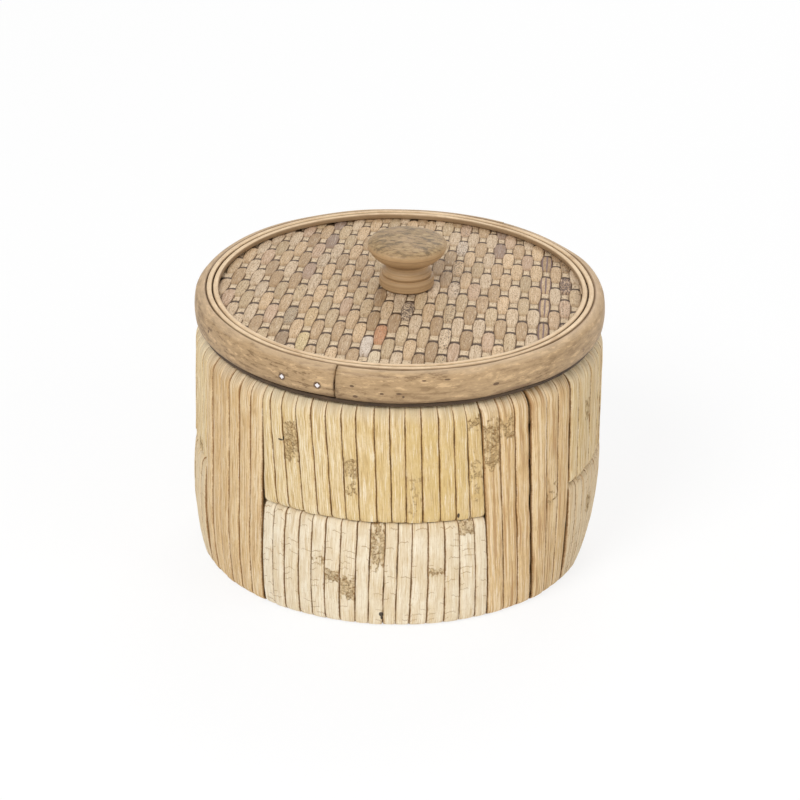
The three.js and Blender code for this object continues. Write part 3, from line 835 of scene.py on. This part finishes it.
def weave_form():
    form = Form("woven_cane", "Radius Pitch Shift Lean LeanSpread RowPitch RowShift RowLean RowBow Wide "
                "Narrow WeftWidth Rise WeftRise Dish Level Dome Rim Slip", "Warps Rows Seed")
    given = form.given
    radius, pitch, lean, rim, seed = given.Radius, given.Pitch, given.Lean, given.Rim, given.Seed
    row_pitch, row_shift, row_lean, bow = given.RowPitch, given.RowShift, given.RowLean, given.RowBow
    slope = -(given.LeanSpread / rim)

    def dome(x, y):
        return given.Dome * (1 - (x * x + y * y) / rim / rim).math("MAXIMUM", 0)

    def bend_of_row(x):
        return row_shift + row_lean * x + bow * x * x / rim / rim

    def ribbons(count, across, along):
        """Flat ribbons of one unit, with a number of faces across and along each."""
        grid = form.geo("MeshGrid", Size_X=1, Size_Y=1, Vertices_X=across + 1, Vertices_Y=along + 1)
        copies = form.geo("InstanceOnPoints", form.geo("Points", Count=count), Instance=grid)
        copies = form.store(copies, "ribbon", form.geo("InputIndex"), "INSTANCE")
        strips = form.geo("RealizeInstances", copies)
        across, share, _ = form.position()
        return form.store(form.store(strips, "across", across), "share", share * 2)

    def half_chord(offset, square):
        """Half the length of a slanted line inside the panel."""
        return (square * radius * radius - offset * offset).math("MAXIMUM", 0).math("SQRT") / square

    ribbon, across, share = form.stored("ribbon", "across", "share")
    warps = ribbons(given.Warps, *WARP_FACES)
    column = ribbon - (given.Warps - 1) * 0.5
    base = column * pitch + given.Shift
    tilt = lean + slope * base
    square = tilt * tilt + 1
    y = -(tilt * base) / square + share * half_chord(base, square)
    line = base + tilt * y
    slip = form.random(-1, 1, seed, ribbon.math("ROUND"))
    phase = (y - bend_of_row(line)) / row_pitch + column + 1 + slip * given.Slip
    wave = (phase * math.pi).math("COSINE")
    swell = (wave * 0.5 + 0.5).math("MAXIMUM", 0).math("POWER", 0.52)
    width = given.Narrow + (given.Wide - given.Narrow) * swell
    width = width * (1 + 0.06 * form.random(-1, 1, seed + 1, ribbon.math("ROUND")))
    x = line + across * width
    up = ((wave * 0.5 + 0.5) * 3.4).math("MINIMUM", 1)
    rise = given.Rise * (up * (2 - up) * 2 - 1)
    z = given.Level + rise - given.Dish * across * across * 4 * up + dome(x, y)
    warps = form.store(warps, "phase", phase)
    warps = form.geo("SetPosition", warps, Position=form.vector(x, y, z))
    warps = form.store(warps, "weft", 0)

    wefts = ribbons(given.Rows, *WEFT_FACES)
    row = ribbon - (given.Rows - 1) * 0.5
    level_y = row * row_pitch
    fair = level_y + row_shift
    end_y = fair + bow * (1 - fair * fair / rim / rim)
    square = row_lean * row_lean + 1
    x = -(row_lean * end_y) / square + share * half_chord(end_y, square)
    y = level_y + bend_of_row(x)
    at_rest = (x - lean * y) / (slope * y + 1)
    phase = (at_rest - given.Shift) / pitch + row
    wave = (phase * math.pi).math("COSINE")
    place = form.vector(x, y + across * given.WeftWidth, given.Level + given.WeftRise * wave + dome(x, y))
    wefts = form.store(wefts, "phase", phase)
    wefts = form.geo("SetPosition", wefts, Position=place)
    wefts = form.store(wefts, "weft", 1)
    return form.finish(form.geo("JoinGeometry", [warps, wefts]))


# %% [markdown]
# Each float of a warp has a tone of its own, because light, weathered and stained canes were mixed.
# The shader counts the floats from the stored phase, and draws a random number for each.

# %% The finish of the woven panel
MIDDLE_WARP = 18
SPECKLED_WARPS = {5: 0.9, 16: 0.8, -10: 0.45, -16: 0.4}
STRIPED_WARP = 14
TINTED_FLOATS = [
    # warp from the middle, weft row, colour and strength
    (-9, 4, (0.2, 0.135, 0.12), 0.8), (-9, 6, (0.17, 0.11, 0.1), 0.8), (9, 4, (0.24, 0.16, 0.135), 0.8),
    (9, 6, (0.22, 0.145, 0.12), 0.8), (-10, 1, (0.34, 0.23, 0.19), 0.7), (-1, -4, (0.47, 0.2, 0.09), 0.85),
    (-2, -5, (0.66, 0.58, 0.5), 0.8), (-1, -6, (0.7, 0.58, 0.4), 0.8), (-8, -3, (0.6, 0.42, 0.22), 0.7),
    (-8, -5, (0.58, 0.47, 0.24), 0.7), (5, 4, (0.66, 0.55, 0.44), 0.7), (5, 0, (0.62, 0.5, 0.38), 0.6),
    (-10, -3, (0.36, 0.28, 0.18), 0.7), (-10, -5, (0.24, 0.155, 0.085), 0.7)]
BLACKENED_FLOATS = [(1, -2), (16, 1), (16, -3)]


def weave_finish():
    skin = Finish("woven_cane", 0.3)
    ribbon, across, phase, weft = skin.attributes("ribbon", "across", "phase", "weft")
    x, y, z = skin.place()
    count = (phase * 0.5).math("ROUND")
    on_top = 1 - weft
    identity = ribbon * 3.7 + weft * 71
    tone = skin.chance(identity, count)
    hue = skin.chance(identity + 31, count + 5)

    def is_warp(column):
        return ribbon.math("COMPARE", MIDDLE_WARP + column, 0.5) * on_top

    def is_float(column, weft_row):
        return is_warp(column) * count.math("COMPARE", (weft_row + column + 1) / 2, 0.4)

    fibres = skin.noise(across * 9, phase * 1.1, ribbon * 5.3, 4, scale=2)
    fine = skin.noise(x * 1500, y * 700, z * 300, rough=0.65)
    specks = skin.noise(x * 1500, y * 800, z * 300, rough=0.65)
    whole = skin.chance(ribbon, 3.1)
    skin.base(tone * 0.75 + whole * 0.5 - 0.1, (0.735, 0.525, 0.315), (0.36, 0.235, 0.125))
    skin.tint(hue.smooth(0.72, 0.8) * 0.6, (0.7, 0.56, 0.4))
    skin.tint(hue.smooth(0.22, 0.16) * 0.6, (0.53, 0.41, 0.25))
    skin.tint(hue.smooth(0.5, 0.52) * hue.smooth(0.62, 0.6) * 0.6, (0.56, 0.385, 0.28))
    skin.tint(weft * 0.75, (0.74, 0.58, 0.385))
    for column, weft_row, tint, strength in TINTED_FLOATS:
        skin.tint(is_float(column, weft_row) * strength, tint)
    skin.tint(fibres.smooth(0.5, 0.66) * 0.65, (0.31, 0.185, 0.09))
    skin.tint(fibres.smooth(0.47, 0.32) * 0.5, (0.82, 0.68, 0.5))
    skin.tint(fine.smooth(0.53, 0.62) * 0.65, (0.22, 0.13, 0.065))
    spotty = tone.smooth(0.95, 0.97) * on_top * 0.5
    for column, strength in SPECKLED_WARPS.items():
        spotty = spotty + is_warp(column) * strength
    black = 0
    for column, weft_row in BLACKENED_FLOATS:
        black = is_float(column, weft_row) + black
    specked = specks.smooth(0.57, 0.62) * spotty + specks.smooth(0.47, 0.53) * black
    skin.tint(specked.math("MINIMUM", 0.9), (0.085, 0.055, 0.045))
    stripes = (across * 16 + fibres * 2.2).math("SINE").smooth(0.1, 0.8) * is_warp(STRIPED_WARP)
    skin.tint(stripes * 0.85, (0.15, 0.095, 0.1))
    # Painted shade: the sides of each ribbon are darkened for the gaps between the ribbons.
    side = across.math("ABSOLUTE") * 2
    edge_and_gap_shade = side.smooth(0.79, 0.97) * (1 - weft * 0.4)
    skin.tint(edge_and_gap_shade * 0.9, (0.105, 0.05, 0.018))
    signed = phase - count * 2
    rough_end = side * side * 0.07 + (fibres - 0.5) * 0.08
    # Painted shadow where each float dives under a weft at its far end, and painted shade where its near end
    # slopes down.
    far_end_shadow = (signed + rough_end).smooth(0.53, 0.58) * on_top
    near_end_shade = (rough_end - signed).smooth(0.6, 0.8) * on_top
    skin.tint(near_end_shade * 0.3, (0.27, 0.165, 0.085))
    skin.tint(far_end_shadow * 0.97, (0.055, 0.026, 0.01))
    skin.done(0.48 + fibres * 0.2, fibres * 0.00022 + fine * 0.00013 - specked * 0.00008)


weave_finish()


# %% [markdown]
# The same tree weaves the domed panel of the lid and the flat one of the bottom. Each ribbon gets its
# thickness last, from both sides of its middle surface.

# %% The woven panels
WARP_PITCH = 4.96 * MM
WEFT_PITCH = 13.5 * MM
PANEL_RIM = 88 * MM
PANEL_RISE = 3.2 * MM
woven_cane_form = weave_form()


def woven_disc(node, name, body, radius, level, rise, dome, thickness, seed):
    piece = woven_cane_form.make(
        name, solidify=thickness, Radius=radius, Pitch=WARP_PITCH, RowPitch=WEFT_PITCH,
        Warps=2 * int(radius / WARP_PITCH + 0.4) + 1, Rows=2 * int(radius / WEFT_PITCH) + 1,
        Shift=1.6 * MM, Lean=0.106, LeanSpread=0.077, RowShift=0.5 * MM, RowLean=-0.113, RowBow=8 * MM,
        Wide=6.15 * MM, Narrow=3.45 * MM, WeftWidth=5.8 * MM, Rise=rise, WeftRise=rise * 0.1, Dish=0.6 * MM,
        Level=level, Dome=dome, Rim=PANEL_RIM, Slip=0.07, Seed=seed, Material=FINISHES["woven_cane"])
    print(name, len(piece.data.polygons), "faces")
    dress(piece, body, "woven_cane", node)


panel = measure("woven_panel")
woven_disc("woven_panel", "woven_lid_panel", "lid", (inner_strip.inner + panel.outer) / 2,
           panel.low + 1.75 * MM, 1 * MM, PANEL_RISE, 1.05 * MM, 4)
bottom = measure("bottom_panel")
woven_disc("bottom_panel", "woven_bottom_panel", "box", bottom.outer - 0.5 * MM,
           (bottom.low + bottom.high) / 2, 0.75 * MM, 0.0, 1.0 * MM, 9)


# %% [markdown]
# The knob is turned on a lathe: a foot with a collar, a waist, and a mushroom cap. Its profile is a
# chain of arcs from the axis at the bottom to the axis at the top. The wood is tan on its sides and
# stained darker on top, where hands have lifted the lid.

# %% The knob
KNOB_CAP_RADIUS = 19.4 * MM
KNOB_WIDEST = 21.7 * MM
KNOB_UNDERSIDE = 12.5 * MM
KNOB_NECK = 10.9 * MM
KNOB_COLLAR = 12.3 * MM
KNOB_FLANGE = 13.4 * MM
KNOB_FLANGE_HEIGHT = 5.5 * MM
KNOB_COLLAR_HEIGHT = 3.2 * MM
KNOB_SOFT_EDGE = 1.1 * MM
KNOB_GROOVE = 0.5 * MM
knob_low, knob_high = (Vector(corner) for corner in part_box("knob"))
knob_centre = (knob_low + knob_high) / 2


def knob_profile(height):
    soft = KNOB_SOFT_EDGE
    collar_high = KNOB_FLANGE_HEIGHT + KNOB_COLLAR_HEIGHT
    under_turn = math.acos(KNOB_NECK / KNOB_CAP_RADIUS)
    under_reach = (KNOB_WIDEST - KNOB_UNDERSIDE) / math.sin(under_turn)
    return [
        (0, 0),
        *arc(KNOB_FLANGE - soft, soft, soft, soft, -90, 0, 5),
        *arc(KNOB_FLANGE - soft, KNOB_FLANGE_HEIGHT - soft, soft, soft, 0, 90, 5),
        *arc(KNOB_NECK + KNOB_GROOVE, KNOB_FLANGE_HEIGHT, KNOB_GROOVE, KNOB_GROOVE, 90, 180, 3)[1:],
        *arc(KNOB_NECK, (KNOB_FLANGE_HEIGHT + collar_high) / 2, KNOB_COLLAR - KNOB_NECK,
             KNOB_COLLAR_HEIGHT / 2, -70, 75, 8),
        (KNOB_NECK - 0.5 * MM, collar_high + 0.3 * MM),
        (KNOB_NECK - 0.4 * MM, KNOB_UNDERSIDE - 1.2 * MM),
        *arc(0, KNOB_WIDEST, KNOB_CAP_RADIUS, under_reach, -math.degrees(under_turn), 0, 14),
        *arc(0, KNOB_WIDEST, KNOB_CAP_RADIUS, height - KNOB_WIDEST, 6, 90, 16),
    ]


def knob_finish():
    skin = Finish("knob_wood", 0.4)
    x, y, z = skin.place()
    out = skin.reach(x - knob_centre.x, y - knob_centre.y)
    height = (z - knob_low.z) / (knob_high.z - knob_low.z)
    turning = skin.noise(out * 500, z * 1100, 2)
    grain = skin.noise(x * 210, y * 480, z * 620, 5, 0.7)
    cloud = skin.noise(x * 90, y * 90, z * 130)
    skin.base(grain * 0.9 + cloud * 0.6 - 0.25, (0.6, 0.4, 0.215), (0.39, 0.25, 0.12))
    skin.tint(turning.smooth(0.5, 0.64) * 0.6, (0.25, 0.145, 0.065))
    skin.tint(turning.smooth(0.46, 0.36) * 0.4, (0.64, 0.46, 0.27))
    low_part = 1 - height.smooth(0.3, 0.52)
    skin.tint(low_part * 0.5, (0.34, 0.21, 0.1))
    # Painted shadow on the underside of the cap.
    shadow_under_cap = height.smooth(0.44, 0.5) * (1 - height.smooth(0.5, 0.62))
    skin.tint(shadow_under_cap * 0.5, (0.16, 0.09, 0.04))
    stain = height.smooth(0.8, 0.93) * (0.55 + cloud.smooth(0.35, 0.6) * 0.45)
    skin.tint(stain * 0.85, (0.235, 0.15, 0.06))
    skin.tint(stain * grain.smooth(0.51, 0.58) * 0.8, (0.1, 0.065, 0.03))
    skin.tint(stain * grain.smooth(0.47, 0.38) * 0.75, (0.45, 0.32, 0.16))
    skin.done(0.42 + cloud * 0.2, turning * 0.00012 + grain * 0.00014)


knob_finish()


def turned_at_knob(name, slot, node, section, step):
    """A piece about the knob's own axis, with a section that starts and ends on it."""
    turned(name, "lid", slot, node, section, step, centre=knob_centre, loop=False)


profile = [(r, knob_low.z + z) for r, z in knob_profile(knob_high.z - knob_low.z)]
turned_at_knob("turned_knob", "knob_wood", "knob", profile, 3)
print("knob profile", len(profile), "points")


# %% [markdown]
# Under the lid a wooden disc and a washer spread the pull of the knob's screw. They show as soon as
# the lid is turned over, so they get rounded edges, and the screw its domed head and its thread.

# %% The knob's fixing
SCREW_HEAD_HEIGHT = 2.4 * MM
SCREW_SHANK = 2 * MM
SCREW_THREAD = 0.45 * MM
SCREW_PITCH = 1.2 * MM


def worn_steel():
    skin = Finish("steel", 0.5)
    skin.fill(skin.shader, Metallic=0.9)
    x, y, z = skin.place()
    spots = skin.noise(x, y, z, scale=900)
    haze = skin.noise(x, y, z, 2, 0.5, 160)
    skin.base(haze, (0.62, 0.61, 0.59), (0.44, 0.42, 0.4))
    skin.tint(spots.smooth(0.6, 0.75) * 0.6, (0.22, 0.13, 0.08))
    skin.done(0.25 + spots * 0.3, spots * 0.00003)


worn_steel()


def fixing(node, name, slot, soft):
    low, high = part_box(node)
    radius = (high[0] - low[0]) / 2
    section = [(0, low[2]), *arc(radius - soft, low[2] + soft, soft, soft, -90, 0, 3),
               *arc(radius - soft, high[2] - soft, soft, soft, 0, 90, 3), (0, high[2])]
    turned_at_knob(name, slot, node, section, 6)


def screw_profile():
    low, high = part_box("knob_screw")
    head = (high[0] - low[0]) / 2
    level = low[2] + SCREW_HEAD_HEIGHT
    points = [(0, low[2]), *arc(0, level, head, SCREW_HEAD_HEIGHT, -85, 0, 6), (SCREW_SHANK, level)]
    level += 2 * MM
    while level < high[2] - 2 * MM:
        points += [(SCREW_SHANK - SCREW_THREAD, level), (SCREW_SHANK, level + 0.5 * MM)]
        level += SCREW_PITCH
    return [*points, (0, high[2])]


fixing("knob_backing_disc", "backing_disc", "dark_wood", 0.8 * MM)
fixing("knob_washer", "washer", "steel", 0.3 * MM)
turned_at_knob("screw", "steel", "knob_screw", screw_profile(), 15)


# %% [markdown]
# Twelve nails hold the hoop to its frame. Two beside the joint still have clean square heads, coloured
# near white for the clean steel and for a painted glint, and the others have gone dull and sit a little
# deeper. A tree puts a nail, turned to face outwards, on one point for each node that it replaces.

# %% The nails
CLEAN_GLINTING_NAIL_ANGLES = (-33.4, -22.4)
DULL_NAIL_SINK = 0.25 * MM


def nail_form():
    form = Form("hoop_nails", "Head Shank Length Proud", takes_points=True)
    given = form.given
    x, y, _ = form.position()
    shank = form.geo("MeshCylinder", Vertices=8, Radius=given.Shank, Depth=given.Length)
    shank = form.geo("Transform", shank, Translation=form.vector(0, 0, given.Length * -0.5))
    head = form.geo("MeshCone", Vertices=4, Side_Segments=1, Radius_Top=given.Head * 0.55,
                    Radius_Bottom=given.Head, Depth=given.Proud * 2)
    head = form.geo("Transform", head, Translation=form.vector(0, 0, given.Proud * -1))
    nail = form.geo("JoinGeometry", [shank, head])
    facing = form.geo("Transform", nail, Rotation=(math.pi / 2, 0, 0))
    copies = form.geo("InstanceOnPoints", given.Geometry, Instance=facing,
                      Rotation=form.vector(0, 0, x.math("ARCTAN2", -y)))
    return form.finish(form.geo("RealizeInstances", copies), False)


def nail_finish():
    skin = Finish("nail_heads", 0.5)
    bright, = skin.attributes("bright")
    spots = skin.noise(*skin.place(), scale=900)
    skin.base(spots.smooth(0.4, 0.6), (0.42, 0.29, 0.18), (0.24, 0.15, 0.08))
    # The two clean heads are near white, partly clean steel and partly a painted glint.
    skin.tint(bright, (0.8, 0.76, 0.76))
    skin.done(0.55 - bright * 0.25 + spots * 0.1, spots * 0.00004)


nail_finish()
nail_nodes = sorted(node for node in nodes if node.startswith("hoop_nail_"))
nail_points = []
nail_clean_with_glint = []
for node in nail_nodes:
    size = measure(node)
    angle = (size.start + size.end) / 2
    bright = any(abs(angle - other) < 1 for other in CLEAN_GLINTING_NAIL_ANGLES)
    reach = size.outer - (0 if bright else DULL_NAIL_SINK)
    nail_points.append((*polar(reach, math.radians(angle)), (size.low + size.high) / 2))
    nail_clean_with_glint.append(float(bright))
nails = nail_form().make("hoop_nails", points=nail_points, marks={"bright": nail_clean_with_glint}, Head=1.75 * MM,
                         Shank=0.7 * MM, Length=9 * MM, Proud=0.35 * MM, Material=FINISHES["nail_heads"])
dress(nails, "lid", "steel", *nail_nodes)
print("nails", len(nail_nodes), "bright", int(sum(nail_clean_with_glint)))


# %% [markdown]
# The box stands on white paper in soft light from all sides, so its shadow is faint. What the camera
# sees directly of the paper and the sky is brighter than the light that they throw on the box.

# %% The studio
WHITE = (1, 1, 1, 1)
SKY_LIGHT = 0.55
PAPER_GLOW = 0.8
FLOOR_HALF = 6
LAMP_TARGET = Vector((0, 0, 0.07))
LAMPS = [  # name, place, size and power
    ("key", (-0.7, -1.3, 1.5), 0.9, 22), ("fill", (1.5, -0.9, 0.9), 1.2, 8), ("back", (0.3, 1.4, 1.3), 1, 8)]


def seen_directly(net):
    rays = net.node("ShaderNodeLightPath").outputs
    seen, *others = (Wire(net, rays[f"Is {kind} Ray"]) for kind in ("Camera", "Glossy", "Transmission"))
    for other in others:
        seen = seen.math("MAXIMUM", other)
    return seen


world = bpy.data.worlds.new("studio")
scene.world = world
world.use_nodes = True
sky = Net(world.node_tree)
strength = seen_directly(sky) * (1 - SKY_LIGHT) + SKY_LIGHT
sky.fill(sky.tree.nodes["Background"], Color=WHITE, Strength=strength)

for name, place, size, power in LAMPS:
    data = bpy.data.lights.new(name, "AREA")
    data.shape = "DISK"
    data.size = size
    data.energy = power
    lamp = add_object(name, data)
    lamp.location = place
    lamp.rotation_mode = "QUATERNION"
    lamp.rotation_quaternion = (LAMP_TARGET - Vector(place)).to_track_quat("-Z", "Y")


def floor_material():
    paper = Finish("paper_floor", 0.1)
    paper.fill(paper.shader, Roughness=0.9, Base_Color=(0.92, 0.92, 0.92, 1))
    glow = paper.put("ShaderNodeEmission", Color=WHITE, Strength=1)
    shaded = Wire(paper, paper.shader.outputs[0])
    blend = paper.put("ShaderNodeMixShader", seen_directly(paper) * PAPER_GLOW, shaded, glow)
    paper.fill(paper.tree.nodes["Material Output"], Surface=blend)
    return paper.material


floor_mesh = bpy.data.meshes.new("floor")
corners = [(FLOOR_HALF * x, FLOOR_HALF * y, 0) for x, y in ((-1, -1), (1, -1), (1, 1), (-1, 1))]
floor_mesh.from_pydata(corners, [], [(0, 1, 2, 3)])
floor_mesh.materials.append(floor_material())
add_object("floor", floor_mesh)

# %% The view transform
scene.view_settings.view_transform = "Standard"
